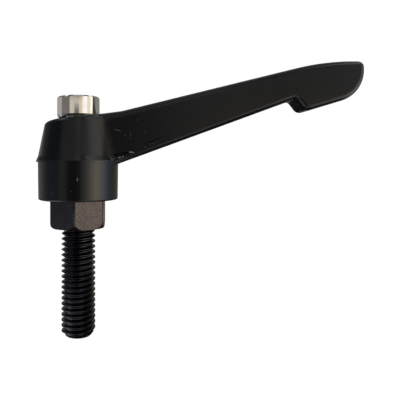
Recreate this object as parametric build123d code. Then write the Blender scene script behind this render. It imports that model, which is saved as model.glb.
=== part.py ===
from build123d import *
import math
import os

os.makedirs("parts", exist_ok=True)

# Adjustable clamping lever: a cast handle on a toothed steel insert with an M8 stud, held down by a
# coil spring under a retaining screw. Lifting the handle frees its teeth, so that it can be set to
# another angle. Millimetres, +Z up along the stud's axis. The origin lies on that axis at the
# underside of the hexagon collar, and the arm leaves along +X.

# ---- insert: stud and hexagon collar ----
stud_d = 8.0
stud_length = 25.0
stud_end_chamfer = 1.0
hex_across_flats = 12.0
hex_turn = 30.0             # degrees about Z, brings one corner round to -Y
hex_face_r = 6.1            # flat underside inside the turned rounding of the corners
hex_round_h = 2.0           # height over which the corners are turned off
hex_turning_play = 0.02     # keeps the turning off the corners above that height
collar_exposed = 6.5        # hexagon below the hub
collar_sunk = 0.4           # hexagon inside the hub's mouth

# ---- toothed coupling ----
tooth_count = 24
tooth_major_r = 7.1
tooth_depth = 0.8
tooth_clearance = 0.1
tooth_engagement = 3.6
mouth_h = 1.0               # plain mouth below the hub's teeth
mouth_clearance = 0.4

# ---- retaining screw ----
shoulder_d = 6.0
screw_thread_d = 5.0
screw_thread_length = 8.0
screw_end_chamfer = 0.5
thread_clearance = 0.05
drill_run_out = 1.0         # hole below the screw's end
head_d = 9.85
head_h = 4.7
head_top_chamfer = 0.3
head_under_chamfer = 0.2
key_across_flats = 4.0
key_depth = 2.2

# ---- spring and its chamber ----
spring_height = 11.4        # as fitted, with the handle down
spring_wire_d = 1.1
spring_turns = 6.5
spring_clearance = 0.45
web_t = 3.0                 # floor of the spring chamber
web_bore_clearance = 0.1
head_clearance = 0.225      # head to chamber wall, radial

# ---- hub ----
hub_low_r = 9.18            # at the bottom edge
hub_high_r = 9.27           # just under the parting ledge
hub_low_round = 0.4
ledge_z = 15.16
ledge_r = 9.68
ledge_lip_h = 0.35
ledge_flare_h = 1.0         # lip fading into the cone
cone_base_r = 9.5           # cone continued down to the ledge
cone_angle = 11.4           # degrees from the axis
hub_top_z = 25.33           # on the axis
hub_top_tilt = 7.5          # degrees, falling away from the arm
hub_blend = 3.0             # hub to arm flanks
blend_reach = 1.35          # how far the blend's foot fades out beyond the ledge

# ---- arm and grip ----
lever_reach = 65.4          # axis to tip
lever_top_z = 38.2          # highest line of the grip
arm_start_x = 10.2          # where the hub's top turns into the arm's top
arm_start_round = 15.0
crest_back = 8.8            # tip to the crest's corner
crest_run = 6.8             # length of the crest's curve each side of its corner
arm_root_z = 14.7           # underside where it meets the hub
arm_root_w = 10.2
grip_w = 7.2
arm_draft = 2.5             # degrees, flanks lean in towards the top
notch_back = 15.65          # tip to the notch's inner corner
notch_arm_depth = 7.0       # arm height over that corner
notch_run = 2.23
notch_drop = 2.9
notch_inner_round = 1.0
notch_outer_round = 1.7
tip_depth = 7.55            # grip height, if its underside ran on to the tip
tip_round = 7.4
lower_edge_round = 1.0
upper_edge_round = 1.4
cut_margin = 3.0            # how far cutting shapes and blanks run past the handle

# ---- heights that follow ----
hub_bottom_z = collar_exposed
socket_z = hub_bottom_z + mouth_h
insert_top_z = socket_z + tooth_engagement
web_top_z = insert_top_z + web_t
head_under_z = web_top_z + spring_height
blank_top_z = lever_top_z + cut_margin

# ---- radii that follow ----
hex_corner_r = hex_across_flats / math.sqrt(3)
tooth_minor_r = tooth_major_r - tooth_depth
mouth_r = max(hex_corner_r, tooth_major_r) + mouth_clearance
chamber_r = head_d / 2 + head_clearance
spring_outer_r = chamber_r - spring_clearance
spring_mean_r = spring_outer_r - spring_wire_d / 2


def tan(degrees):
    return math.tan(math.radians(degrees))


# ---- corners of the handle's side view, as reach and height ----
crest = (lever_reach - crest_back, lever_top_z)
arm_start = (arm_start_x, hub_top_z + arm_start_x * tan(hub_top_tilt))
top_slope = (crest[1] - arm_start[1]) / (crest[0] - arm_start[0])
notch_x = lever_reach - notch_back
notch_inner = (notch_x, arm_start[1] + (notch_x - arm_start_x) * top_slope - notch_arm_depth)
notch_outer = (notch_x + notch_run, notch_inner[1] - notch_drop)
heel = (lever_reach, lever_top_z - tip_depth)
under_slope = (notch_inner[1] - arm_root_z) / (notch_x - hub_high_r)
arm_foot = (0, arm_root_z - hub_high_r * under_slope)
shoulder_top_z = arm_start[1] + cut_margin


def upright(z):
    return Plane.XY.offset(z)


def outline_in_xz(corners):
    """A face in the XZ plane, from corners given with the radius that rounds each of them."""
    with BuildSketch(Plane.XZ) as outline:
        with BuildLine():
            FilletPolyline(*corners, radius=list(corners.values()), close=True)
        make_face()
    return outline.sketch


def turned(*points):
    """A solid turned about Z from sharp corners given as radius and height."""
    return revolve(outline_in_xz({point: 0 for point in points}), Axis.Z)


def toothed_disc(major_r, minor_r, z, height):
    """A disc with V teeth round its rim: one crest and one root for each tooth."""
    half_pitch = math.pi / tooth_count
    corners = []
    for step in range(2 * tooth_count):
        radius = minor_r if step % 2 else major_r
        corners.append((radius * math.cos(step * half_pitch), radius * math.sin(step * half_pitch)))
    return extrude(upright(z) * make_face(Polyline(*corners, close=True)), height)


def disc(radius, low_z, high_z):
    return extrude(upright(low_z) * Circle(radius), high_z - low_z)


def make_collar():
    """Hexagon bar whose lower corners are turned to a curve."""
    hexagon = RegularPolygon(hex_across_flats / 2, 6, major_radius=False, rotation=hex_turn)
    bar = extrude(hexagon, hub_bottom_z + collar_sunk)
    bar_r = hex_corner_r + hex_turning_play
    with BuildSketch(Plane.XZ) as envelope:
        with BuildLine():
            TangentArc((bar_r, hex_round_h), (hex_face_r, 0), tangent=(0, -1))
            Polyline(
                (hex_face_r, 0),
                (0, 0),
                (0, insert_top_z),
                (bar_r, insert_top_z),
                (bar_r, hex_round_h),
            )
        make_face()
    return bar & revolve(envelope.sketch, Axis.Z)


def make_stud_insert():
    stud_r = stud_d / 2
    stud = turned(
        (0, -stud_length),
        (stud_r - stud_end_chamfer, -stud_length),
        (stud_r, stud_end_chamfer - stud_length),
        (stud_r, 0),
        (0, 0),
    )
    teeth_z = hub_bottom_z + collar_sunk
    teeth = toothed_disc(tooth_major_r, tooth_minor_r, teeth_z, insert_top_z - teeth_z)
    screw_end_z = insert_top_z - screw_thread_length
    hole = disc(screw_thread_d / 2 + thread_clearance, screw_end_z - drill_run_out, insert_top_z)
    return stud + make_collar() + teeth - hole


def make_retaining_screw():
    head_r = head_d / 2
    thread_r = screw_thread_d / 2
    end_z = insert_top_z - screw_thread_length
    head_top_z = head_under_z + head_h
    body = turned(
        (0, end_z),
        (thread_r - screw_end_chamfer, end_z),
        (thread_r, end_z + screw_end_chamfer),
        (thread_r, insert_top_z),
        (shoulder_d / 2, insert_top_z),
        (shoulder_d / 2, head_under_z),
        (head_r - head_under_chamfer, head_under_z),
        (head_r, head_under_z + head_under_chamfer),
        (head_r, head_top_z - head_top_chamfer),
        (head_r - head_top_chamfer, head_top_z),
        (0, head_top_z),
    )
    key = RegularPolygon(key_across_flats / 2, 6, major_radius=False)
    return body - extrude(upright(head_top_z - key_depth) * key, key_depth)


def make_spring():
    """Compression spring with both ends ground flat, on the web and under the head."""
    path = upright(web_top_z) * Helix(spring_height / spring_turns, spring_height, spring_mean_r)
    section = Plane(origin=path @ 0, z_dir=path % 0) * Circle(spring_wire_d / 2)
    coil = sweep(section, path=path)
    return coil & disc(chamber_r, web_top_z, head_under_z)


def half_width(x, z):
    """Half of the arm's width: narrower towards the grip and towards the top."""
    draft = tan(arm_draft)
    growth = (grip_w - arm_root_w) / 2 + draft * (heel[1] - arm_root_z)
    growth = growth / (lever_reach - hub_high_r)
    return arm_root_w / 2 + growth * (x - hub_high_r) - draft * (z - arm_root_z)


def make_bar():
    """Drafted bar on the arm's plan, running on past the tip."""
    base_z = arm_foot[1]
    end_x = lever_reach + cut_margin
    end_w = half_width(end_x, base_z)
    start_w = half_width(0, base_z)
    plan = make_face(
        Polyline((0, -start_w), (end_x, -end_w), (end_x, end_w), (0, start_w), close=True)
    )
    return extrude(upright(base_z) * plan, blank_top_z - base_z, taper=arm_draft)


def make_arm():
    """Arm and grip with underside, finger notch and tip, and one rounding run along all of them."""
    below = {
        arm_foot: 0,
        notch_inner: notch_inner_round,
        notch_outer: notch_outer_round,
        heel: tip_round,
        (lever_reach, blank_top_z): 0,
        (0, blank_top_z): 0,
    }
    arm = make_bar() & extrude(outline_in_xz(below), grip_w, both=True)
    tip_rim = arm.faces().sort_by(Axis.X)[-1].edges()
    tip_corners = tip_rim.filter_by(lambda e: abs(e.center().Y) > grip_w / 4)
    return fillet(tip_corners, lower_edge_round)


def make_shoulder():
    """Cone of the hub above the ledge, with the hollow blends that run out on to the arm."""
    height = shoulder_top_z - ledge_z
    top_r = cone_base_r - height * tan(cone_angle)
    cone = turned((0, ledge_z), (cone_base_r, ledge_z), (top_r, shoulder_top_z), (0, shoulder_top_z))
    blank = cone + (make_bar() & disc(lever_reach, ledge_z, shoulder_top_z))
    seams = blank.edges().filter_by(
        lambda e: 0 < e.center().X < cone_base_r and e.bounding_box().size.Z > height / 2
    )
    blank = fillet(seams, hub_blend)
    fade_r = ledge_r + blend_reach
    envelope = turned(
        (0, ledge_z),
        (ledge_r, ledge_z),
        (fade_r, ledge_z + blend_reach),
        (fade_r, shoulder_top_z),
        (0, shoulder_top_z),
    )
    return blank & envelope


def crown_cut():
    """All that lies under the handle's top line, from the hub over the arm to the grip."""
    far_x = -ledge_r - cut_margin
    past_x = lever_reach + cut_margin
    under = {
        (far_x, 0): 0,
        (past_x, 0): 0,
        (past_x, lever_top_z): 0,
        crest: crest_run / math.tan(math.atan(top_slope) / 2),
        arm_start: arm_start_round,
        (far_x, hub_top_z + far_x * tan(hub_top_tilt)): 0,
    }
    return extrude(outline_in_xz(under), ledge_r + cut_margin, both=True)


def make_hub_skirt():
    """Hub below the parting ledge, and the ledge's own lip."""
    skirt_corners = {
        (0, hub_bottom_z): 0,
        (hub_low_r, hub_bottom_z): hub_low_round,
        (hub_high_r, ledge_z): 0,
        (0, ledge_z): 0,
    }
    flare_z = ledge_z + ledge_lip_h + ledge_flare_h
    lip = turned(
        (0, ledge_z),
        (ledge_r, ledge_z),
        (ledge_r, ledge_z + ledge_lip_h),
        (cone_base_r - (flare_z - ledge_z) * tan(cone_angle), flare_z),
        (0, flare_z),
    )
    return revolve(outline_in_xz(skirt_corners), Axis.Z) + lip


def make_handle():
    body = (make_shoulder() + make_arm()) & crown_cut()
    rim = body.edges().filter_by(GeomType.ELLIPSE).sort_by(Axis.X)[0]
    body = fillet(rim, upper_edge_round) + make_hub_skirt()
    major_r = tooth_major_r + tooth_clearance
    minor_r = tooth_minor_r + tooth_clearance
    body -= disc(mouth_r, hub_bottom_z, socket_z)
    body -= toothed_disc(major_r, minor_r, socket_z, tooth_engagement)
    body -= disc(shoulder_d / 2 + web_bore_clearance, insert_top_z, web_top_z)
    body -= disc(chamber_r, web_top_z, blank_top_z)
    return body


if __name__ == "__main__":
    for name, make in {
        "stud_insert": make_stud_insert,
        "retaining_screw": make_retaining_screw,
        "spring": make_spring,
        "handle": make_handle,
    }.items():
        export_step(make(), f"parts/{name}.step")
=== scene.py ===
"""Looks of the adjustable clamping lever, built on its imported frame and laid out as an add-on."""

import math

import bmesh
import bpy
from bpy.props import FloatProperty, FloatVectorProperty, IntProperty, PointerProperty
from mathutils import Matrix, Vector


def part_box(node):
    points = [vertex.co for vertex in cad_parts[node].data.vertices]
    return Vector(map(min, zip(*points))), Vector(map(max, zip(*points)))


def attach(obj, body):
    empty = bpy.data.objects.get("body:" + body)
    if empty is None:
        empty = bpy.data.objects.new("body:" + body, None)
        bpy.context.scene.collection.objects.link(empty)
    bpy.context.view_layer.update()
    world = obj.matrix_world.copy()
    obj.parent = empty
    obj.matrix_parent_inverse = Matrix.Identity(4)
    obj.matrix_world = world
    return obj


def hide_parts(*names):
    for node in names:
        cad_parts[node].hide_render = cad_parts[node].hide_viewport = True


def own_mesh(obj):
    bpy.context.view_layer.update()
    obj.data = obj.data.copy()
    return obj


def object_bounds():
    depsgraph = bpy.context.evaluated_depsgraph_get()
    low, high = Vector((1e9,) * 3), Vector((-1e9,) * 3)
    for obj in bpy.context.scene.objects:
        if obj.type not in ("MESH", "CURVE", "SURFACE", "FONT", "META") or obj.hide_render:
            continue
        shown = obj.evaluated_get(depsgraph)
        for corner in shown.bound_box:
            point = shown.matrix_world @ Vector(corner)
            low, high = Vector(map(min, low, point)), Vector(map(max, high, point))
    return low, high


bl_info = {
    "name": "Clamping Lever",
    "version": (1, 0, 0),
    "blender": (4, 5, 0),
    "location": "3D View > Sidebar > Clamping Lever",
    "description": "Makes the stud, spring and finishes of an adjustable clamping lever, and its studio",
    "category": "Object",
}

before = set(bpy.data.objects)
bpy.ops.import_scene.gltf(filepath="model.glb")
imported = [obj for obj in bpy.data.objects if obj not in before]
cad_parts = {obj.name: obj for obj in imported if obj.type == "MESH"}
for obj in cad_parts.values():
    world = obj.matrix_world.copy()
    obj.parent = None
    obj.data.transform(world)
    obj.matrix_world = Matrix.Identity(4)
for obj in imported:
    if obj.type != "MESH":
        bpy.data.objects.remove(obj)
CAD_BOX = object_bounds()
MM = 0.001

# Thread and stud. The flats are shares of the pitch. The thread runs out just under the collar.
THREAD_START = math.radians(-109.0)
CREST_FLAT = 0.1
ROOT_FLAT = 0.12
RUN_OUT_LENGTH = 2.4 * MM
RUN_OUT_CREST_DROP = 0.25 * MM
RUN_OUT_ROOT_RISE = 0.1 * MM
STUD_CHAMFER = 1.0 * MM
STUD_CHAMFER_SLOPE = 0.95
STUD_LEAST_RADIUS = 0.5 * MM
STUD_INTO_COLLAR = 0.5 * MM

# Collar and teeth. The two rises are above the handle's underside.
COLLAR_TOP_RISE = 0.4 * MM
COLLAR_FACE_RADIUS = 6.1 * MM
COLLAR_ROUND_HEIGHT = 2.0 * MM
COLLAR_ROUND_STEPS = 14
COLLAR_BEVEL = 0.2 * MM
COLLAR_OVERSIZE = 0.02 * MM
COLLAR_SPARE = 0.5 * MM
TURNING_STEPS = 144
TEETH_START_RISE = 0.2 * MM
TOOTH_COUNT = 24
TOOTH_STEPS = 4
TOOTH_CREST = 7.1 * MM
TOOTH_DEPTH = 0.8 * MM
TOOTH_CHAMFER = 0.3 * MM
INSERT_SHARP_DEGREES = 28

# Spring. Its ends are ground down to a share of the wire's radius.
COIL_STEPS = 48
WIRE_SIDES = 14
GROUND_SHARE = 0.9
SPRING_SHARP_DEGREES = 40

# Lower edge of the screw's head, which is turned off a little higher up its side.
HEAD_EDGE_Z = 25.7 * MM
HEAD_EDGE_INNER = 4.8 * MM
HEAD_EDGE_RISE = 0.36 * MM
HEAD_EDGE_NEAR = 0.02 * MM


def node_object(name):
    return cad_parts[name]


# ---------------------------------------------------------------- settings


class LeverFinishSettings(bpy.types.PropertyGroup):
    """Colours and grain of the finishes"""

    coat_color: FloatVectorProperty(
        name="Powder Coat",
        description="Colour of the coat on the handle",
        subtype="COLOR",
        size=3,
        min=0.0,
        max=1.0,
        default=(0.0015, 0.0016, 0.0021),
    )
    coat_roughness: FloatProperty(
        name="Coat Roughness",
        description="How satin the powder coat is",
        subtype="FACTOR",
        min=0.0,
        max=1.0,
        default=0.25,
    )
    coat_grain: FloatProperty(
        name="Coat Grain",
        description="Width of one grain of the powder coat",
        unit="LENGTH",
        subtype="DISTANCE",
        min=0.00002,
        default=0.00022,
    )
    oxide_color: FloatVectorProperty(
        name="Black Oxide",
        description="Colour of the blackened steel insert",
        subtype="COLOR",
        size=3,
        min=0.0,
        max=1.0,
        default=(0.07, 0.061, 0.061),
    )
    # Painted shade: the thread is given a colour darker than the collar's.
    thread_shade_color: FloatVectorProperty(
        name="Thread",
        description="Colour of the oiled thread, darker than the collar",
        subtype="COLOR",
        size=3,
        min=0.0,
        max=1.0,
        default=(0.02, 0.019, 0.025),
    )
    nickel_color: FloatVectorProperty(
        name="Nickel",
        description="Colour of the plated screw",
        subtype="COLOR",
        size=3,
        min=0.0,
        max=1.0,
        default=(0.8, 0.76, 0.7),
    )
    zinc_color: FloatVectorProperty(
        name="Bare Casting",
        description="Colour of the metal where the coat has chipped off",
        subtype="COLOR",
        size=3,
        min=0.0,
        max=1.0,
        default=(0.45, 0.43, 0.4),
    )


class LeverThreadSettings(bpy.types.PropertyGroup):
    """Sizes of the stud's thread and of the collar above it"""

    pitch: FloatProperty(
        name="Pitch",
        description="Rise of the thread in one turn",
        unit="LENGTH",
        subtype="DISTANCE",
        min=0.0003,
        default=1.25 * MM,
    )
    crest_radius: FloatProperty(
        name="Crest Radius",
        description="Radius at the thread's crests",
        unit="LENGTH",
        subtype="DISTANCE",
        min=0.001,
        default=3.925 * MM,
    )
    depth: FloatProperty(
        name="Depth",
        description="Depth of the thread from crest to root",
        unit="LENGTH",
        subtype="DISTANCE",
        min=0.0001,
        default=0.78 * MM,
    )
    collar_flats: FloatProperty(
        name="Across Flats",
        description="Width of the hexagon collar across its flats",
        unit="LENGTH",
        subtype="DISTANCE",
        min=0.004,
        default=12.0 * MM,
    )
    collar_turn: FloatProperty(
        name="Collar Turn",
        description="Angle of the collar's first corner about the stud's axis",
        unit="ROTATION",
        subtype="ANGLE",
        default=math.radians(30.0),
    )
    columns: IntProperty(
        name="Columns",
        description="Steps round one turn of the thread",
        min=24,
        max=240,
        default=96,
    )


class LeverSpringSettings(bpy.types.PropertyGroup):
    """Sizes of the coil spring"""

    wire_diameter: FloatProperty(
        name="Wire",
        description="Diameter of the spring's wire",
        unit="LENGTH",
        subtype="DISTANCE",
        min=0.0002,
        default=1.1 * MM,
    )
    turns: FloatProperty(
        name="Turns",
        description="Turns of the coil, closed end turns included",
        min=3.0,
        default=7.5,
    )


class LeverStudioSettings(bpy.types.PropertyGroup):
    """Camera, lamps, floor and world"""

    camera_distance: FloatProperty(
        name="Distance",
        description="Camera to the stud's axis, across the side view",
        unit="LENGTH",
        subtype="DISTANCE",
        default=105.0 * MM,
    )
    camera_side: FloatProperty(
        name="Side",
        description="Camera beside the stud's axis, towards the grip",
        unit="LENGTH",
        subtype="DISTANCE",
        default=14.0 * MM,
    )
    camera_height: FloatProperty(
        name="Height",
        description="Camera above the underside of the collar",
        unit="LENGTH",
        subtype="DISTANCE",
        default=15.6 * MM,
    )
    lens: FloatProperty(
        name="Lens",
        description="Focal length in millimetres on a 36 mm sensor",
        default=40.455,
    )
    floor_gap: FloatProperty(
        name="Floor Gap",
        description="Space between the stud's end and the floor",
        unit="LENGTH",
        subtype="DISTANCE",
        default=30.0 * MM,
    )
    key_power: FloatProperty(
        name="Key Power",
        description="Power of the large soft lamp on the grip's side",
        unit="POWER",
        default=1.7,
    )
    fill_power: FloatProperty(
        name="Fill Power",
        description="Power of the soft lamp overhead",
        unit="POWER",
        default=2.0,
    )
    world_level: FloatProperty(
        name="World Level",
        description="Plain light that reaches matt surfaces from all round",
        min=0.0,
        default=0.45,
    )


# ---------------------------------------------------------------- node helpers


class Finish:
    """A node material under construction, with short calls for the nodes used over and over."""

    def __init__(self, name):
        self.material = bpy.data.materials.new(name)
        self.material.use_nodes = True
        self.tree = self.material.node_tree
        self.tree.nodes.clear()
        self.output = self.tree.nodes.new("ShaderNodeOutputMaterial")
        self.shader = self.tree.nodes.new("ShaderNodeBsdfPrincipled")
        self.tree.links.new(self.shader.outputs["BSDF"], self.output.inputs["Surface"])
        self.place = self.tree.nodes.new("ShaderNodeTexCoord").outputs["Object"]

    def set(self, **values):
        for socket, value in values.items():
            self.shader.inputs[socket.replace("_", " ")].default_value = value

    def link(self, source, node, socket):
        self.tree.links.new(source, node.inputs[socket])

    def feed(self, source, socket):
        self.tree.links.new(source, self.shader.inputs[socket])

    def noise(self, size, detail=3.0, roughness=0.55, stretch=None, seed=0.0):
        node = self.tree.nodes.new("ShaderNodeTexNoise")
        node.noise_dimensions = "4D" if seed else "3D"
        node.inputs["Scale"].default_value = 1.0 / size
        node.inputs["Detail"].default_value = detail
        node.inputs["Roughness"].default_value = roughness
        if seed:
            node.inputs["W"].default_value = seed
        self.link(self.stretched(stretch), node, "Vector")
        return node.outputs["Fac"]

    def stretched(self, stretch):
        if stretch is None:
            return self.place
        node = self.tree.nodes.new("ShaderNodeMapping")
        node.inputs["Scale"].default_value = stretch
        self.link(self.place, node, "Vector")
        return node.outputs["Vector"]

    def put(self, node, socket, value):
        """Gives a socket a plain value, or another node's output."""
        if isinstance(value, bpy.types.NodeSocket):
            self.link(value, node, socket)
        else:
            node.inputs[socket].default_value = value

    def math(self, operation, first, second, clamp=False):
        node = self.tree.nodes.new("ShaderNodeMath")
        node.operation = operation
        node.use_clamp = clamp
        self.put(node, 0, first)
        self.put(node, 1, second)
        return node.outputs["Value"]

    def length(self, source):
        node = self.tree.nodes.new("ShaderNodeVectorMath")
        node.operation = "LENGTH"
        self.link(source, node, 0)
        return node.outputs["Value"]

    def axes(self):
        """The place's X, Y and Z as sockets."""
        node = self.tree.nodes.new("ShaderNodeSeparateXYZ")
        self.link(self.place, node, "Vector")
        return node.outputs

    def span(self, source, low, high, to_low=0.0, to_high=1.0, smooth=False):
        """A source's values from low to high, spread from to_low to to_high and held there beyond."""
        node = self.tree.nodes.new("ShaderNodeMapRange")
        node.interpolation_type = "SMOOTHSTEP" if smooth else "LINEAR"
        node.inputs["From Min"].default_value = low
        node.inputs["From Max"].default_value = high
        node.inputs["To Min"].default_value = to_low
        node.inputs["To Max"].default_value = to_high
        self.link(source, node, "Value")
        return node.outputs["Result"]

    def vary(self, noise, low, high):
        """A value from low to high that follows a noise."""
        return self.span(noise, NOISE_LOW, NOISE_HIGH, low, high)

    def mix(self, factor, first, second):
        node = self.tree.nodes.new("ShaderNodeMix")
        node.data_type = "RGBA"
        self.link(factor, node, 0)
        self.put(node, 6, first)
        self.put(node, 7, second)
        return node.outputs[2]

    def bump(self, height, distance, under=None):
        node = self.tree.nodes.new("ShaderNodeBump")
        node.inputs["Strength"].default_value = 1.0
        node.inputs["Distance"].default_value = distance
        self.link(height, node, "Height")
        if under is not None:
            self.link(under, node, "Normal")
        return node.outputs["Normal"]

    def near(self, centre, reach, tilt):
        """One at a point, falling to zero at an ellipsoid's skin. Tilt leans it in the side view."""
        node = self.tree.nodes.new("ShaderNodeMapping")
        node.vector_type = "TEXTURE"
        node.inputs["Location"].default_value = centre
        node.inputs["Rotation"].default_value = (0.0, tilt, 0.0)
        node.inputs["Scale"].default_value = reach
        self.link(self.place, node, "Vector")
        return self.math("SUBTRACT", 1.0, self.length(node.outputs["Vector"]), clamp=True)


def opaque(color, scale=1.0):
    """The colour scaled, with nothing of it see-through."""
    return (color[0] * scale, color[1] * scale, color[2] * scale, 1.0)


def dress(piece, material):
    """Gives the piece one material in place of what it had."""
    piece.data.materials.clear()
    piece.data.materials.append(material)


# ---------------------------------------------------------------- finishes

# Most of a noise lies between these.
NOISE_LOW = 0.3
NOISE_HIGH = 0.7

# Powder coat. The swell is wider than the grain, and the tones scale the coat's colour.
COAT_GRAIN_SPAN = (0.35, 0.65)
COAT_DARK = 0.9
COAT_LIGHT = 1.15
SWELL_GRAINS = 7.0
CLOUD_SIZE = 9.0 * MM
CLOUD_TONE = 1.1
CLOUD_SHARE = 0.35
GRAIN_HEIGHT = 0.0006 * MM
SWELL_HEIGHT = 0.002 * MM
GRAIN_POLISH = 0.01
GRAIN_DULLING = 0.02
COAT_SPECULAR = 0.5

# Marks on the coat in millimetres: centre, half sizes and lean in the side view in degrees.
COAT_CHIPS = (
    ((9.8, -4.7, 16.15), (0.6, 0.9, 0.2), -12.0),
    ((10.6, -4.7, 16.35), (0.4, 0.9, 0.14), -30.0),
    ((12.3, -4.8, 17.35), (0.6, 0.9, 0.19), 4.0),
    ((12.9, -4.8, 17.25), (0.3, 0.9, 0.16), 24.0),
    ((15.5, -4.8, 18.4), (0.11, 0.5, 0.07), -14.0),
    ((16.5, -4.8, 19.2), (0.09, 0.5, 0.07), -14.0),
    ((17.4, -4.8, 19.3), (0.1, 0.5, 0.07), -14.0),
)
COAT_BRUISES = (
    ((9.0, -4.8, 16.8), (1.3, 0.8, 0.28), -10.0),
    ((11.0, -4.8, 17.15), (1.7, 0.8, 0.26), -8.0),
    ((17.4, -4.8, 19.9), (3.0, 0.8, 0.14), -25.0),
    ((15.1, -4.9, 22.0), (0.5, 0.8, 0.14), 34.0),
    ((13.4, -4.9, 24.8), (0.5, 0.8, 0.14), 14.0),
)
COAT_SCRATCHES = (
    ((9.2, -5.0, 22.3), (1.0, 0.9, 0.12), 10.0),
    ((9.9, -5.0, 22.05), (0.5, 0.9, 0.08), 22.0),
    ((13.6, -4.9, 24.55), (0.36, 0.9, 0.1), 34.0),
    ((15.5, -4.9, 21.75), (0.3, 0.9, 0.09), 40.0),
    ((11.1, -4.9, 21.1), (0.2, 0.9, 0.18), 0.0),
    ((12.25, -4.9, 21.75), (0.12, 0.9, 0.12), 0.0),
    ((12.25, -4.9, 21.2), (0.08, 0.9, 0.3), 0.0),
    ((12.2, -4.9, 20.5), (0.08, 0.9, 0.25), 0.0),
    ((15.7, -4.8, 23.1), (0.12, 0.9, 0.12), 0.0),
    ((21.2, -4.7, 26.0), (0.16, 0.9, 0.16), 0.0),
    ((1.0, -9.2, 11.3), (0.28, 0.6, 0.32), 0.0),
    ((1.0, -9.2, 11.7), (0.11, 0.6, 0.38), 0.0),
    ((-2.6, -8.7, 10.1), (0.12, 0.5, 0.12), 0.0),
    ((-0.3, -9.2, 8.9), (0.12, 0.5, 0.12), 0.0),
    ((-4.7, -7.9, 8.3), (0.1, 0.5, 0.35), 0.0),
    ((-3.9, -7.2, 17.4), (0.12, 0.6, 0.12), 0.0),
)

# Edges of the marks, and what the marks do to the coat.
MARK_EDGE_GRAIN = 0.35 * MM
MARK_RAGGEDNESS = 0.6
MARK_EDGE_LOW = -0.08
MARK_EDGE_HIGH = 0.2
MARK_DEPTH = 0.05 * MM
SCRATCH_COLOR = (0.07, 0.07, 0.075, 1.0)
SCRATCH_ROUGHNESS = 0.15
SCRATCH_DEPTH_SHARE = 0.5
BRUISE_DULLING = 0.38

# The hollow between hub and arm above the ledge, where the coat is made rougher and its reflection is
# turned down as painted shade. The arm's edge slopes.
CORNER_START = 5.6 * MM
CORNER_END = 9.0 * MM
CORNER_FADE = 17.0 * MM
CORNER_EDGE = 1.2 * MM
CORNER_DULLING = 0.2
# Specular level left in the hollow, which is painted shade.
CORNER_SHADED_SPECULAR = 0.22
LEDGE_HEIGHT = 15.6 * MM
LEDGE_EDGE = 0.8 * MM
ARM_SLOPE = 0.2485
ARM_EDGE_HEIGHT = 23.3 * MM

# Blackened steel. The tones scale its colour, and the thread's darker tone, which is painted shade,
# starts under the collar.
OXIDE_GRAIN = 0.28 * MM
OXIDE_GRAIN_SPAN = (0.4, 0.6)
OXIDE_GRAIN_HEIGHT = 0.004 * MM
OXIDE_BLOTCH = 1.6 * MM
OXIDE_ROUGHNESS = (0.28, 0.36)
OXIDE_SPARK_SIZE = 0.3 * MM
OXIDE_SPARK_SPAN = (0.66, 0.72)
OXIDE_DARK = 0.66
OXIDE_LIGHT = 1.36
OXIDE_SPARK = 1.9
THREAD_SHADE_LOW = -0.5 * MM
THREAD_SHADE_HIGH = -0.1 * MM
THREAD_OIL = 0.5
OIL_ROUGHNESS = 0.12

# Nickel plate and spring wire.
TURNING_MARK_SIZE = 0.9 * MM
TURNING_MARK_STRETCH = (0.5, 0.5, 14.0)
TURNING_MARK_HEIGHT = 0.0004 * MM
NICKEL_HAZE = 0.7 * MM
NICKEL_HAZE_SPAN = (0.35, 0.7)
NICKEL_HAZE_TONE = 0.88
NICKEL_ROUGHNESS = (0.03, 0.06)
WIRE_GRAIN = 0.2 * MM
WIRE_ROUGHNESS = (0.25, 0.4)
WIRE_GRAIN_HEIGHT = 0.003 * MM
WIRE_DARK = (0.24, 0.24, 0.25, 1.0)
WIRE_LIGHT = (0.4, 0.4, 0.41, 1.0)


def worn_spot(finish, marks, ragged):
    """Mask of all the given marks, each with an uneven edge."""
    total = None
    for centre, reach, tilt in marks:
        place = tuple(value * MM for value in centre)
        size = tuple(value * MM for value in reach)
        spot = finish.near(place, size, math.radians(tilt))
        total = spot if total is None else finish.math("MAXIMUM", total, spot)
    uneven = finish.math("MULTIPLY", ragged, MARK_RAGGEDNESS)
    return finish.span(finish.math("SUBTRACT", total, uneven), MARK_EDGE_LOW, MARK_EDGE_HIGH)


def hollow_shade_and_dulling_mask(finish):
    """One in the hollow between hub and arm above the ledge, where the coat is made rougher and its
    reflection is turned down as painted shade.
    """
    axes = finish.axes()
    along = axes["X"]
    height = axes["Z"]
    rise = finish.span(along, CORNER_START, CORNER_START + CORNER_EDGE, smooth=True)
    fall = finish.span(along, CORNER_END, CORNER_END + CORNER_FADE, 1.0, 0.0, smooth=True)
    above = finish.span(height, LEDGE_HEIGHT, LEDGE_HEIGHT + LEDGE_EDGE, smooth=True)
    lean = finish.math("SUBTRACT", height, finish.math("MULTIPLY", along, ARM_SLOPE))
    below = finish.span(lean, ARM_EDGE_HEIGHT - CORNER_EDGE, ARM_EDGE_HEIGHT, 1.0, 0.0, smooth=True)
    across = finish.math("MULTIPLY", rise, fall)
    return finish.math("MULTIPLY", across, finish.math("MULTIPLY", above, below))


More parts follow.
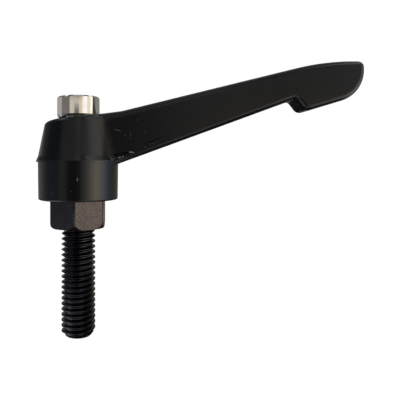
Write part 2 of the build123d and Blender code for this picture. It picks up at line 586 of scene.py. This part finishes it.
def powder_coat(settings):
    """Satin black coat with its fine grain, small scratches and the places where it has chipped."""
    finish = Finish("powder_coat")
    color = settings.coat_color
    grain = finish.noise(settings.coat_grain, detail=4.0, roughness=0.6)
    swell = finish.noise(settings.coat_grain * SWELL_GRAINS, detail=2.0, seed=3.0)
    cloud = finish.noise(CLOUD_SIZE, detail=2.0, seed=5.0)
    ragged = finish.noise(MARK_EDGE_GRAIN, detail=3.0, seed=8.0)
    chips = worn_spot(finish, COAT_CHIPS, ragged)
    bruises = worn_spot(finish, COAT_BRUISES, ragged)
    scratches = worn_spot(finish, COAT_SCRATCHES, ragged)
    # Mask of the hollow: rougher coat there, and less reflection as painted shade.
    corner = hollow_shade_and_dulling_mask(finish)

    grained = finish.span(grain, *COAT_GRAIN_SPAN)
    tone = finish.mix(grained, opaque(color, COAT_DARK), opaque(color, COAT_LIGHT))
    tone = finish.mix(finish.vary(cloud, 0.0, CLOUD_SHARE), tone, opaque(color, CLOUD_TONE))
    tone = finish.mix(scratches, tone, SCRATCH_COLOR)
    tone = finish.mix(chips, tone, opaque(settings.zinc_color))
    finish.feed(tone, "Base Color")
    finish.feed(chips, "Metallic")
    finish.set(IOR=1.5)

    rough = settings.coat_roughness
    dull = finish.vary(grain, rough - GRAIN_POLISH, rough + GRAIN_DULLING)
    dull = finish.math("ADD", dull, finish.math("MULTIPLY", corner, CORNER_DULLING))
    dull = finish.math("ADD", dull, finish.math("MULTIPLY", scratches, SCRATCH_ROUGHNESS))
    finish.feed(dull, "Roughness")
    # Painted shade: less reflection in the hollow between hub and arm.
    shine = finish.math("MULTIPLY", corner, COAT_SPECULAR - CORNER_SHADED_SPECULAR)
    shine = finish.math("SUBTRACT", COAT_SPECULAR, shine)
    bruised = finish.math("MULTIPLY", bruises, BRUISE_DULLING)
    finish.feed(finish.math("SUBTRACT", shine, bruised, clamp=True), "Specular IOR Level")

    fine = finish.bump(grain, GRAIN_HEIGHT)
    soft = finish.bump(swell, SWELL_HEIGHT, under=fine)
    chipped = finish.math("MULTIPLY", chips, -1.0)
    worn = finish.math("ADD", chipped, finish.math("MULTIPLY", scratches, -SCRATCH_DEPTH_SHARE))
    finish.feed(finish.bump(worn, MARK_DEPTH, under=soft), "Normal")
    return finish.material


def black_oxide(settings):
    """Blackened steel, lightly oiled, with a speckled grain on the collar and painted shade that darkens
    the thread.
    """
    finish = Finish("black_oxide_steel")
    color = settings.oxide_color
    grain = finish.noise(OXIDE_GRAIN, detail=5.0, roughness=0.75)
    blotch = finish.noise(OXIDE_BLOTCH, detail=3.0, seed=2.0)
    # One below the collar, where the thread is darkened as painted shade and oiled.
    thread = finish.span(finish.axes()["Z"], THREAD_SHADE_LOW, THREAD_SHADE_HIGH, 1.0, 0.0)
    grained = finish.span(grain, *OXIDE_GRAIN_SPAN)
    tone = finish.mix(grained, opaque(color, OXIDE_DARK), opaque(color, OXIDE_LIGHT))
    sparks = finish.span(finish.noise(OXIDE_SPARK_SIZE, detail=1.0, seed=6.0), *OXIDE_SPARK_SPAN)
    tone = finish.mix(sparks, tone, opaque(color, OXIDE_SPARK))
    # Painted shade on the thread.
    tone = finish.mix(thread, tone, opaque(settings.thread_shade_color))
    finish.feed(tone, "Base Color")
    finish.feed(finish.vary(blotch, *OXIDE_ROUGHNESS), "Roughness")
    finish.feed(finish.math("MULTIPLY", thread, THREAD_OIL), "Coat Weight")
    finish.set(Metallic=1.0, Coat_Roughness=OIL_ROUGHNESS)
    finish.feed(finish.bump(grain, OXIDE_GRAIN_HEIGHT), "Normal")
    return finish.material


def nickel_plate(settings):
    """Polished nickel with fine turning marks round the head."""
    finish = Finish("nickel_plate")
    color = settings.nickel_color
    marks = finish.noise(TURNING_MARK_SIZE, detail=4.0, stretch=TURNING_MARK_STRETCH)
    haze = finish.noise(NICKEL_HAZE, detail=3.0, seed=4.0)
    finish.set(Metallic=1.0, IOR=1.8)
    hazed = finish.span(haze, *NICKEL_HAZE_SPAN)
    finish.feed(finish.mix(hazed, opaque(color), opaque(color, NICKEL_HAZE_TONE)), "Base Color")
    finish.feed(finish.vary(haze, *NICKEL_ROUGHNESS), "Roughness")
    finish.feed(finish.bump(marks, TURNING_MARK_HEIGHT), "Normal")
    return finish.material


def spring_steel():
    """Bare drawn wire."""
    finish = Finish("spring_steel")
    grain = finish.noise(WIRE_GRAIN, detail=3.0)
    finish.set(Metallic=1.0)
    finish.feed(finish.mix(grain, WIRE_DARK, WIRE_LIGHT), "Base Color")
    finish.feed(finish.vary(grain, *WIRE_ROUGHNESS), "Roughness")
    finish.feed(finish.bump(grain, WIRE_GRAIN_HEIGHT), "Normal")
    return finish.material


# ---------------------------------------------------------------- mesh helpers

# Points this near are joined, points this near to a cut lie on it, and edges over this angle stay sharp.
MERGE_DISTANCE = 1e-7
CUT_DISTANCE = 1e-8
SHARP_DEGREES = 30


def mesh_object(name, mesh_data, sharp_degrees=SHARP_DEGREES):
    """An object from a bmesh, smooth but for edges over the given angle."""
    mesh = bpy.data.meshes.new(name)
    mesh_data.to_mesh(mesh)
    mesh_data.free()
    mesh.shade_smooth()
    mesh.set_sharp_from_angle(angle=math.radians(sharp_degrees))
    piece = bpy.data.objects.new(name, mesh)
    bpy.context.scene.collection.objects.link(piece)
    return piece


def round_axis(radius, angle, z):
    """A point at a radius, an angle and a height about the stud's axis."""
    return (radius * math.cos(angle), radius * math.sin(angle), z)


def round_ring(mesh_data, radius, z, steps):
    """A ring of vertices about the stud's axis."""
    angles = [2 * math.pi * step / steps for step in range(steps)]
    return [mesh_data.verts.new(round_axis(radius, angle, z)) for angle in angles]


def join_rings(mesh_data, rings):
    """Quads between each ring of vertices and the next."""
    for low, high in zip(rings, rings[1:]):
        count = len(low)
        for i in range(count):
            j = (i + 1) % count
            mesh_data.faces.new((low[i], low[j], high[j], high[i]))


def join_lines(mesh_data, lines):
    """Quads between each open line of vertices and the next."""
    for low, high in zip(lines, lines[1:]):
        for i in range(len(low) - 1):
            mesh_data.faces.new((low[i], low[i + 1], high[i + 1], high[i]))


def cap(mesh_data, ring, centre):
    """A fan that closes a ring over its centre."""
    hub = mesh_data.verts.new(centre)
    for i in range(len(ring)):
        mesh_data.faces.new((ring[i], ring[(i + 1) % len(ring)], hub))


def close_ends(mesh_data, rings):
    """A flat face on the first ring and one on the last."""
    mesh_data.faces.new(rings[0])
    mesh_data.faces.new(rings[-1])


def settle(mesh_data):
    """Joins points that meet, and turns all faces outwards."""
    bmesh.ops.remove_doubles(mesh_data, verts=mesh_data.verts, dist=MERGE_DISTANCE)
    bmesh.ops.recalc_face_normals(mesh_data, faces=mesh_data.faces)


def evaluated_copy(piece):
    """A bmesh of the piece with its modifiers applied, the piece itself being removed."""
    evaluated = piece.evaluated_get(bpy.context.evaluated_depsgraph_get())
    result = bmesh.new()
    result.from_mesh(evaluated.to_mesh())
    evaluated.to_mesh_clear()
    bpy.data.objects.remove(piece)
    return result


def united(parts):
    """One bmesh with all the parts in it."""
    whole = bmesh.new()
    for part in parts:
        carrier = bpy.data.meshes.new("carrier")
        part.to_mesh(carrier)
        part.free()
        whole.from_mesh(carrier)
        bpy.data.meshes.remove(carrier)
    return whole


# ---------------------------------------------------------------- stud insert


def thread_rows(settings, low_z, high_z):
    """Rows of the thread's skin from below low_z to above high_z: a height and a share of the depth."""
    pitch = settings.pitch
    crest_flat = CREST_FLAT * pitch
    root_flat = ROOT_FLAT * pitch
    flank = (pitch - crest_flat - root_flat) / 2
    profile = [
        (0.0, 0.0),
        (crest_flat, 0.0),
        (crest_flat + 0.5 * flank, 0.5),
        (crest_flat + flank, 1.0),
        (crest_flat + flank + root_flat, 1.0),
        (crest_flat + 1.5 * flank + root_flat, 0.5),
    ]
    rows = []
    start = low_z - 2 * pitch
    turn = 0
    while start + turn * pitch < high_z + pitch:
        for offset, share in profile:
            rows.append((start + turn * pitch + offset, share))
        turn += 1
    return rows


def skin_radius(settings, z, share, low_z):
    """Radius of the thread's skin at a height, with the end chamfer and the run-out under the collar."""
    crest = settings.crest_radius
    root = crest - settings.depth
    fade = min(max((z + RUN_OUT_LENGTH) / RUN_OUT_LENGTH, 0.0), 1.0)
    crest_here = crest - RUN_OUT_CREST_DROP * fade * fade
    root_here = root + RUN_OUT_ROOT_RISE * fade
    radius = crest_here + (root_here - crest_here) * share
    chamfer = crest - STUD_CHAMFER + (z - low_z) * STUD_CHAMFER_SLOPE
    return max(min(radius, chamfer), STUD_LEAST_RADIUS)


def make_stud(settings, low_z):
    """The threaded stud, from its chamfered end up into the collar."""
    mesh_data = bmesh.new()
    columns = settings.columns
    high_z = STUD_INTO_COLLAR
    lines = []
    for height, share in thread_rows(settings, low_z, high_z):
        line = []
        for column in range(columns + 1):
            angle = 2 * math.pi * column / columns
            z = height + settings.pitch * column / columns
            radius = skin_radius(settings, z, share, low_z)
            line.append(mesh_data.verts.new(round_axis(radius, angle + THREAD_START, z)))
        lines.append(line)
    join_lines(mesh_data, lines)
    bmesh.ops.remove_doubles(mesh_data, verts=mesh_data.verts, dist=MERGE_DISTANCE)
    for z, normal in ((low_z, (0, 0, -1)), (high_z, (0, 0, 1))):
        bmesh.ops.bisect_plane(
            mesh_data,
            geom=mesh_data.verts[:] + mesh_data.edges[:] + mesh_data.faces[:],
            plane_co=(0, 0, z),
            plane_no=normal,
            clear_outer=True,
            dist=CUT_DISTANCE,
        )
    rims = [edge for edge in mesh_data.edges if edge.is_boundary]
    bmesh.ops.holes_fill(mesh_data, edges=rims, sides=0)
    bmesh.ops.recalc_face_normals(mesh_data, faces=mesh_data.faces)
    return mesh_data


def hexagon_blank(corner, turn, top_z):
    """The collar's hexagon with its upright edges broken, reaching below the collar's underside."""
    hexagon = bmesh.new()
    rings = []
    for z in (-COLLAR_SPARE, top_z):
        tips = [Vector(round_axis(corner, turn + step * math.pi / 3, z)) for step in range(6)]
        ring = []
        for before, tip, after in zip(tips[-1:] + tips[:-1], tips, tips[1:] + tips[:1]):
            ring.append(hexagon.verts.new(tip + (before - tip).normalized() * COLLAR_BEVEL))
            ring.append(hexagon.verts.new(tip + (after - tip).normalized() * COLLAR_BEVEL))
        rings.append(ring)
    join_rings(hexagon, rings)
    close_ends(hexagon, rings)
    settle(hexagon)
    return mesh_object("collar_blank", hexagon)


def corner_turning(corner, top_z):
    """The turned solid that the collar's lower corners are cut to, reaching above the collar."""
    turning = bmesh.new()
    run = corner + COLLAR_OVERSIZE - COLLAR_FACE_RADIUS
    sweep = (run * run + COLLAR_ROUND_HEIGHT**2) / (2 * run)
    full = math.asin(COLLAR_ROUND_HEIGHT / sweep)
    profile = []
    for step in range(COLLAR_ROUND_STEPS + 1):
        angle = full * (1 - step / COLLAR_ROUND_STEPS)
        radius = COLLAR_FACE_RADIUS + run - sweep * (1 - math.cos(angle))
        profile.append((radius, COLLAR_ROUND_HEIGHT - sweep * math.sin(angle)))
    profile.append((COLLAR_FACE_RADIUS + run, top_z + COLLAR_SPARE))
    rings = [round_ring(turning, radius, z, TURNING_STEPS) for radius, z in profile]
    join_rings(turning, rings)
    close_ends(turning, rings)
    settle(turning)
    return mesh_object("collar_turning", turning)


def make_collar(settings, top_z):
    """Hexagon with its lower corners turned off, met exactly by a boolean of two solids."""
    corner = settings.collar_flats / math.sqrt(3)
    blank = hexagon_blank(corner, settings.collar_turn, top_z)
    turning = corner_turning(corner, top_z)
    cut = blank.modifiers.new("turned corners", "BOOLEAN")
    cut.operation = "INTERSECT"
    cut.solver = "EXACT"
    cut.object = turning
    result = evaluated_copy(blank)
    bpy.data.objects.remove(turning)
    return result


def make_teeth(low_z, high_z):
    """Ring of V teeth on the insert, with chamfered upper ends."""
    mesh_data = bmesh.new()
    rings = []
    count = TOOTH_COUNT * TOOTH_STEPS
    for z, shrink in ((low_z, 0.0), (high_z - TOOTH_CHAMFER, 0.0), (high_z, TOOTH_CHAMFER)):
        ring = []
        for step in range(count):
            wave = abs(((step / TOOTH_STEPS) % 1.0) - 0.5) * 2
            radius = TOOTH_CREST - TOOTH_DEPTH * (1 - wave) - shrink
            ring.append(mesh_data.verts.new(round_axis(radius, 2 * math.pi * step / count, z)))
        rings.append(ring)
    join_rings(mesh_data, rings)
    cap(mesh_data, rings[0], (0, 0, low_z))
    cap(mesh_data, rings[-1], (0, 0, high_z))
    settle(mesh_data)
    return mesh_data


class LEVER_OT_make_insert(bpy.types.Operator):
    """Make the toothed insert with its turned hexagon collar and threaded stud"""

    bl_idname = "lever.make_insert"
    bl_label = "Make Insert"

    def execute(self, context):
        settings = context.scene.lever_thread
        low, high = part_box("stud_insert")
        handle_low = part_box("handle")[0]
        parts = [
            make_stud(settings, low.z),
            make_collar(settings, handle_low.z + COLLAR_TOP_RISE),
            make_teeth(handle_low.z + TEETH_START_RISE, high.z),
        ]
        insert = mesh_object("insert_steel", united(parts), INSERT_SHARP_DEGREES)
        dress(insert, black_oxide(context.scene.lever_finish))
        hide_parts("stud_insert")
        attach(insert, "insert")
        return {"FINISHED"}


# ---------------------------------------------------------------- spring


def make_coil(settings, low, high):
    """The coil, whose first and last turns close up and are ground flat."""
    mesh_data = bmesh.new()
    wire = settings.wire_diameter / 2
    mean = (high.x - low.x) / 2 - wire
    climb = high.z - low.z - 2 * GROUND_SHARE * wire
    closed = 1.0 / settings.turns
    steps = int(settings.turns * COIL_STEPS)
    rings = []
    for step in range(steps + 1):
        share = step / steps
        angle = 2 * math.pi * settings.turns * share
        rise = min(max((share - closed) / (1 - 2 * closed), 0.0), 1.0)
        ends = min(share / closed, 1.0, (1 - share) / closed)
        slope = wire * (ends if share < 0.5 else -ends)
        z = low.z + GROUND_SHARE * wire + climb * rise + GROUND_SHARE * slope
        out = Vector((math.cos(angle), math.sin(angle), 0))
        ring = []
        for side in range(WIRE_SIDES):
            turn = 2 * math.pi * side / WIRE_SIDES
            point = out * (mean + wire * math.cos(turn)) + Vector((0, 0, z + wire * math.sin(turn)))
            point.z = min(max(point.z, low.z), high.z)
            ring.append(mesh_data.verts.new(point))
        rings.append(ring)
    join_rings(mesh_data, rings)
    close_ends(mesh_data, rings)
    bmesh.ops.recalc_face_normals(mesh_data, faces=mesh_data.faces)
    return mesh_data


class LEVER_OT_make_spring(bpy.types.Operator):
    """Make the coil spring with closed ground ends, as a fixed mesh; the real spring shortens as the
    handle lifts
    """

    bl_idname = "lever.make_spring"
    bl_label = "Make Spring"

    def execute(self, context):
        low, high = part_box("spring")
        coil_data = make_coil(context.scene.lever_spring, low, high)
        coil = mesh_object("coil_spring", coil_data, SPRING_SHARP_DEGREES)
        dress(coil, spring_steel())
        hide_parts("spring")
        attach(coil, "spring")
        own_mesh(coil)
        return {"FINISHED"}


# ---------------------------------------------------------------- handle and screw


class LEVER_OT_dress_handle(bpy.types.Operator):
    """Give the cast handle its satin black powder coat"""

    bl_idname = "lever.dress_handle"
    bl_label = "Dress Handle"

    def execute(self, context):
        dress(node_object("handle"), powder_coat(context.scene.lever_finish))
        return {"FINISHED"}


def head_edge_turned_off(mesh):
    """Turns the head's lower edge off a little higher up its side. True where that edge is found."""
    found = False
    for corner in mesh.vertices:
        place = corner.co
        if abs(place.z - HEAD_EDGE_Z) < HEAD_EDGE_NEAR and math.hypot(place.x, place.y) > HEAD_EDGE_INNER:
            place.z += HEAD_EDGE_RISE
            found = True
    return found


class LEVER_OT_make_screw(bpy.types.Operator):
    """Make the polished nickel-plated retaining screw"""

    bl_idname = "lever.make_screw"
    bl_label = "Make Screw"

    def execute(self, context):
        solid = node_object("retaining_screw")
        mesh = solid.data.copy()
        mesh.transform(solid.matrix_world)
        if not head_edge_turned_off(mesh):
            raise RuntimeError("the screw's head has no lower edge where it is expected")
        screw = bpy.data.objects.new("plated_screw", mesh)
        context.scene.collection.objects.link(screw)
        dress(screw, nickel_plate(context.scene.lever_finish))
        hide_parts("retaining_screw")
        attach(screw, "insert")
        return {"FINISHED"}


# ---------------------------------------------------------------- studio

# Lamps: the window's azimuth in degrees, and places and sizes in metres.
WINDOW_AZIMUTH = 62
WINDOW_DISTANCE = 0.5
WINDOW_HEIGHT = 0.05
WINDOW_SIZE = (0.56, 0.4)
WINDOW_COLOR = (1.0, 0.95, 0.88)
TOP_PLACE = (0.05, 0.05, 0.7)
TOP_SIZE = (0.6, 0.6)
TOP_COLOR = (0.95, 0.97, 1.0)

# Camera. Its shifts are shares of the picture's width.
SENSOR_WIDTH = 36.0
CAMERA_SHIFT_X = 0.154
CAMERA_SHIFT_Y = -0.1
CAMERA_CLIP_START = 5.0 * MM

# World and floor. Both are seen white, and the floor keeps a soft shadow near the part.
WHITE = (1.0, 1.0, 1.0, 1.0)
WORLD_SEEN_LEVEL = 1.02
FLOOR_RADII = (0.05, 0.4, 1.5, 4.0)
FLOOR_STEPS = 64
FLOOR_COLOR = (0.9, 0.9, 0.9, 1.0)
FLOOR_ROUGHNESS = 0.9
FLOOR_SPECULAR = 0.1
FLOOR_GLOW = 1.03
FLOOR_SHADOW_RADIUS = 0.1
FLOOR_WHITE_RADIUS = 0.3
FLOOR_NEAR_GLOW = 0.92

# Cards that only gloss sees: boards and flags round a point on the stud's axis, and mats on the floor.
CARD_MIDDLE_Z = 10.0 * MM
CARD_RADIUS = 0.7
CARD_FLOOR_GAP = 2.0 * MM
CARD_DEGREES_ACROSS = 5
CARD_DEGREES_UP = 4
MAT_LIFT = 1.0 * MM
WARM = (1.0, 0.91, 0.76)
AMBER = (1.0, 0.87, 0.73)
CREAM = (1.0, 0.95, 0.84)
PLAIN = (1.0, 0.98, 0.95)
COOL = (0.62, 0.76, 1.0)
VIOLET = (0.88, 0.84, 1.0)
HAZE = (0.74, 0.79, 1.0)

# Name, azimuths and elevations in degrees, colour and strength of each card.
STUDIO_CARDS = (
    ("backdrop_hub_side_end", (-180, -150), (-8, 4), PLAIN, 0.1),
    ("backdrop_hub_side_low", (-150, -103), (-12, 4), PLAIN, 0.32),
    ("backdrop_hub_side", (-180, -92), (4, 10), PLAIN, 0.46),
    ("backdrop_hub_side_high", (-180, -103), (10, 50), PLAIN, 0.12),
    ("flag_hub_side_low", (-103, -48), (-24, 4), COOL, 0.22),
    ("flag_hub_side", (-92, -40), (4, 10), PLAIN, 0.205),
    ("flag_hub_side_high", (-103, -48), (10, 50), COOL, 0.1),
    ("board_hub_side_low", (-48, -27), (-24, 4), PLAIN, 0.32),
    ("board_front", (-40, -14), (4, 9.6), CREAM, 0.69),
    ("board_front_dull", (-14, 10), (4, 7.8), PLAIN, 0.19),
    ("board_front_fade", (-14, 10), (7.8, 8.5), PLAIN, 0.4),
    ("board_front_upper", (-14, 10), (8.5, 9.6), CREAM, 0.64),
    ("flag_front_low", (-27, 14), (-24, 4), COOL, 0.01),
    ("gap_front", (-48, 34), (9.6, 12), COOL, 0.06),
    ("board_front_high", (-48, 0), (12, 60), PLAIN, 0.32),
    ("flag_arm_root", (0, 8), (12, 18), COOL, 0.05),
    ("board_arm", (8, 20), (12, 18), PLAIN, 0.36),
    ("board_grip", (20, 42), (12, 18), PLAIN, 0.03),
    ("board_edge_low", (0, 22), (18, 28), PLAIN, 0.4),
    ("board_edge_side", (22, 42), (18, 28), PLAIN, 0.62),
    ("board_edge", (0, 14), (28, 60), PLAIN, 0.75),
    ("flag_edge", (14, 42), (29, 44), COOL, 0.05),
    ("flag_edge_high", (14, 32), (44, 60), COOL, 0.05),
    ("board_front_side", (10, 20), (4, 9.6), WARM, 0.76),
    ("board_front_side_bright", (20, 29), (4, 9.6), WARM, 0.92),
    ("board_front_side_end", (29, 37), (4, 9.6), PLAIN, 1.2),
    ("window_low_14", (14, 28), (-15, 4), PLAIN, 0.42),
    ("window_low_28", (28, 40), (-15, 4), AMBER, 1.0),
    ("window_low_40", (40, 52), (-15, 4), AMBER, 1.9),
    ("window_low_52", (52, 66), (-15, 4), AMBER, 2.7),
    ("window_low_66", (66, 80), (-15, 4), AMBER, 2.0),
    ("window_low_80", (80, 92), (-15, 4), COOL, 1.5),
    ("window_low_92", (92, 104), (-15, 4), COOL, 0.65),
    ("window_low_104", (104, 120), (-15, 4), PLAIN, 0.3),
    ("window_low_120", (120, 150), (-15, 4), WARM, 0.24),
    ("backdrop_grip_end", (150, 180), (-8, 4), WARM, 0.26),
    ("window_near", (37, 55), (4, 14), PLAIN, 1.3),
    ("window_middle", (55, 74), (4, 14), WARM, 1.04),
    ("window_far", (74, 95), (4, 14), PLAIN, 1.38),
    ("window_high_near", (45, 56), (14, 32), PLAIN, 0.95),
    ("window_high", (56, 82), (14, 32), WARM, 1.15),
    ("window_high_far", (82, 94), (14, 32), PLAIN, 0.7),
    ("window_frame", (42, 92), (32, 44), PLAIN, 0.5),
    ("window_top", (32, 92), (44, 60), PLAIN, 1.5),
    ("flag_grip_side_low", (95, 112), (4, 11), PLAIN, 0.19),
    ("flag_grip_side", (92, 112), (11, 50), WARM, 0.11),
    ("backdrop_grip_side_low", (112, 180), (4, 11), PLAIN, 0.285),
    ("backdrop_grip_side", (112, 180), (11, 50), WARM, 0.25),
    ("glow_front_low", (-88, -50), (-52, -29), HAZE, 3.2),
    ("flag_grip_low", (45, 140), (-60, -20), COOL, 0.06),
    ("flag_behind_low", (140, 220), (-45, -9), PLAIN, 0.01),
    ("ceiling_edge", (-180, 180), (60, 74), COOL, 0.14),
    ("ceiling", (-180, 180), (74, 90), PLAIN, 0.45),
)

# Name, reach along X and Y in millimetres, colour and strength of each mat.
FLOOR_MATS = (
    ("floor_mat_arm", (14, 75), (-28, 28), VIOLET, 0.85),
    ("floor_mat_front", (14, 110), (-82, -36), VIOLET, 0.5),
    ("floor_mat_behind", (-160, 12), (28, 420), COOL, 0.04),
    ("floor_mat_behind_arm", (12, 110), (28, 420), VIOLET, 0.1),
    ("floor_mat_stud", (-50, 14), (-46, 28), COOL, 0.04),
    ("floor_mat_stud_front", (-30, 14), (-82, -46), COOL, 0.04),
)


def area_lamp(name, place, aim, size, power, color):
    """A soft lamp for matt surfaces. Gloss sees the cards instead."""
    data = bpy.data.lights.new(name, "AREA")
    data.shape = "RECTANGLE"
    data.size, data.size_y = size
    data.energy = power
    data.color = color
    lamp = bpy.data.objects.new(name, data)
    lamp.location = place
    lamp.rotation_euler = (aim - place).to_track_quat("-Z", "Y").to_euler()
    lamp.visible_glossy = False
    bpy.context.scene.collection.objects.link(lamp)


def round_about(azimuth_degrees, distance, height):
    """A place round the stud's axis. Azimuth 0 is where the side view is seen from."""
    angle = math.radians(azimuth_degrees)
    return Vector((distance * math.sin(angle), -distance * math.cos(angle), height))


def spread(ends, step):
    """Even angles from one end to the other, about the given step apart."""
    first, last = ends
    count = max(int(abs(last - first) / step), 1)
    return [first + (last - first) * index / count for index in range(count + 1)]


def studio_card(name, azimuths, elevations, color, strength):
    """One board or flag of the round that only gloss sees, over a span of azimuth and elevation."""
    mesh_data = bmesh.new()
    middle = Vector((0.0, 0.0, CARD_MIDDLE_Z))
    floor_depth = middle.z - floor_level() - CARD_FLOOR_GAP
    lines = []
    for elevation in spread(elevations, CARD_DEGREES_UP):
        rise = math.radians(elevation)
        reach = CARD_RADIUS
        if rise < 0:
            reach = min(reach, floor_depth / math.sin(-rise))
        line = []
        for azimuth in spread(azimuths, CARD_DEGREES_ACROSS):
            level = round_about(azimuth, reach * math.cos(rise), reach * math.sin(rise))
            line.append(mesh_data.verts.new(middle + level))
        lines.append(line)
    join_lines(mesh_data, lines)
    gloss_only(mesh_object(name, mesh_data), color, strength)


def floor_mat(name, reach_x, reach_y, color, strength):
    """A mat just over the floor that only gloss sees. Its reaches are in millimetres."""
    mesh_data = bmesh.new()
    z = floor_level() + MAT_LIFT
    corners = []
    for x, y in ((0, 0), (1, 0), (1, 1), (0, 1)):
        corners.append(mesh_data.verts.new((reach_x[x] * MM, reach_y[y] * MM, z)))
    mesh_data.faces.new(corners)
    gloss_only(mesh_object(name, mesh_data), color, strength)


def gloss_only(card, color, strength):
    """Gives the card a glow that neither the camera nor matt surfaces see."""
    material = bpy.data.materials.new(card.name)
    material.use_nodes = True
    tree = material.node_tree
    tree.nodes.clear()
    glow = tree.nodes.new("ShaderNodeEmission")
    glow.inputs["Color"].default_value = (*color, 1.0)
    glow.inputs["Strength"].default_value = strength
    out = tree.nodes.new("ShaderNodeOutputMaterial")
    tree.links.new(glow.outputs["Emission"], out.inputs["Surface"])
    dress(card, material)
    card.visible_camera = False
    card.visible_diffuse = False
    card.visible_transmission = False
    card.visible_shadow = False


def floor_level():
    return CAD_BOX[0].z - bpy.context.scene.lever_studio.floor_gap


def seen_white(tree):
    """One for camera, glossy and transmission rays, otherwise zero."""
    path = tree.nodes.new("ShaderNodeLightPath")
    seen = path.outputs["Is Camera Ray"]
    for ray in ("Is Glossy Ray", "Is Transmission Ray"):
        either = tree.nodes.new("ShaderNodeMath")
        either.operation = "MAXIMUM"
        tree.links.new(seen, either.inputs[0])
        tree.links.new(path.outputs[ray], either.inputs[1])
        seen = either.outputs["Value"]
    return seen


def mixed_shader(tree, share, first, second):
    """The first shader, turned into the second by the share."""
    mix = tree.nodes.new("ShaderNodeMixShader")
    for index, source in enumerate((share, first, second)):
        tree.links.new(source, mix.inputs[index])
    return mix.outputs["Shader"]


def make_world(level):
    """A world that lights at the given level and is itself seen white."""
    world = bpy.data.worlds.new("studio_world")
    world.use_nodes = True
    tree = world.node_tree
    tree.nodes.clear()
    shades = []
    for strength in (level, WORLD_SEEN_LEVEL):
        shade = tree.nodes.new("ShaderNodeBackground")
        shade.inputs["Color"].default_value = WHITE
        shade.inputs["Strength"].default_value = strength
        shades.append(shade.outputs["Background"])
    out = tree.nodes.new("ShaderNodeOutputWorld")
    tree.links.new(mixed_shader(tree, seen_white(tree), *shades), out.inputs["Surface"])
    bpy.context.scene.world = world


def make_floor(z):
    """A wide pale floor that keeps a soft shadow."""
    mesh_data = bmesh.new()
    rings = [round_ring(mesh_data, radius, z, FLOOR_STEPS) for radius in FLOOR_RADII]
    join_rings(mesh_data, rings)
    cap(mesh_data, rings[0], (0, 0, z))
    settle(mesh_data)
    floor = mesh_object("studio_floor", mesh_data)
    finish = Finish("pale_floor")
    finish.set(Base_Color=FLOOR_COLOR, Roughness=FLOOR_ROUGHNESS, Specular_IOR_Level=FLOOR_SPECULAR)
    tree = finish.tree
    glow = tree.nodes.new("ShaderNodeEmission")
    glow.inputs["Strength"].default_value = FLOOR_GLOW
    away = finish.length(finish.place)
    white = finish.span(away, FLOOR_SHADOW_RADIUS, FLOOR_WHITE_RADIUS, FLOOR_NEAR_GLOW, 1.0, smooth=True)
    share = finish.math("MULTIPLY", seen_white(tree), white)
    shade = mixed_shader(tree, share, finish.shader.outputs["BSDF"], glow.outputs["Emission"])
    tree.links.new(shade, finish.output.inputs["Surface"])
    dress(floor, finish.material)


def make_lamps(settings):
    """The window at the grip's side and the soft lamp overhead."""
    low, high = CAD_BOX
    middle = Vector((0.0, 0.0, (low.z + high.z) / 2))
    window_place = round_about(WINDOW_AZIMUTH, WINDOW_DISTANCE, WINDOW_HEIGHT)
    area_lamp("window_softbox", window_place, middle, WINDOW_SIZE, settings.key_power, WINDOW_COLOR)
    area_lamp("top_softbox", Vector(TOP_PLACE), middle, TOP_SIZE, settings.fill_power, TOP_COLOR)


def make_camera(settings):
    """A level camera that looks straight across the side view."""
    data = bpy.data.cameras.new("side_camera")
    data.sensor_width = SENSOR_WIDTH
    data.lens = settings.lens
    data.shift_x = CAMERA_SHIFT_X
    data.shift_y = CAMERA_SHIFT_Y
    data.clip_start = CAMERA_CLIP_START
    camera = bpy.data.objects.new("side_camera", data)
    camera.location = (settings.camera_side, -settings.camera_distance, settings.camera_height)
    camera.rotation_euler = (math.pi / 2, 0.0, 0.0)
    bpy.context.scene.collection.objects.link(camera)
    return camera


class LEVER_OT_make_stage(bpy.types.Operator):
    """Set up the pale floor, the soft lamps, the cards that gloss sees and the camera"""

    bl_idname = "lever.make_stage"
    bl_label = "Make Stage"

    def execute(self, context):
        settings = context.scene.lever_studio
        make_world(settings.world_level)
        make_floor(floor_level())
        make_lamps(settings)
        for card in STUDIO_CARDS:
            studio_card(*card)
        for mat in FLOOR_MATS:
            floor_mat(*mat)
        context.scene.camera = make_camera(settings)
        context.scene.view_settings.view_transform = "Standard"
        return {"FINISHED"}


# ---------------------------------------------------------------- sidebar


class LEVER_PT_sidebar(bpy.types.Panel):
    """Lists the lever's settings and the steps that make it"""

    bl_idname = "LEVER_PT_sidebar"
    bl_label = "Clamping Lever"
    bl_space_type = "VIEW_3D"
    bl_region_type = "UI"
    bl_category = "Clamping Lever"

    def draw(self, context):
        layout = self.layout
        for step in STEPS:
            layout.operator(step.bl_idname)
        for group in SETTINGS:
            box = layout.box()
            values = getattr(context.scene, group)
            for name in values.__annotations__:
                box.prop(values, name)


STEPS = (
    LEVER_OT_make_insert,
    LEVER_OT_make_spring,
    LEVER_OT_dress_handle,
    LEVER_OT_make_screw,
    LEVER_OT_make_stage,
)

SETTINGS = {
    "lever_finish": LeverFinishSettings,
    "lever_thread": LeverThreadSettings,
    "lever_spring": LeverSpringSettings,
    "lever_studio": LeverStudioSettings,
}


def register():
    for group in SETTINGS.values():
        bpy.utils.register_class(group)
    for name, group in SETTINGS.items():
        setattr(bpy.types.Scene, name, PointerProperty(type=group))
    for step in STEPS:
        bpy.utils.register_class(step)
    bpy.utils.register_class(LEVER_PT_sidebar)


def unregister():
    bpy.utils.unregister_class(LEVER_PT_sidebar)
    for step in reversed(STEPS):
        bpy.utils.unregister_class(step)
    for name in SETTINGS:
        delattr(bpy.types.Scene, name)
    for group in reversed(SETTINGS.values()):
        bpy.utils.unregister_class(group)


def main():
    register()
    bpy.ops.lever.make_insert()
    bpy.ops.lever.make_spring()
    bpy.ops.lever.dress_handle()
    bpy.ops.lever.make_screw()
    bpy.ops.lever.make_stage()


if __name__ == "__main__":
    main()
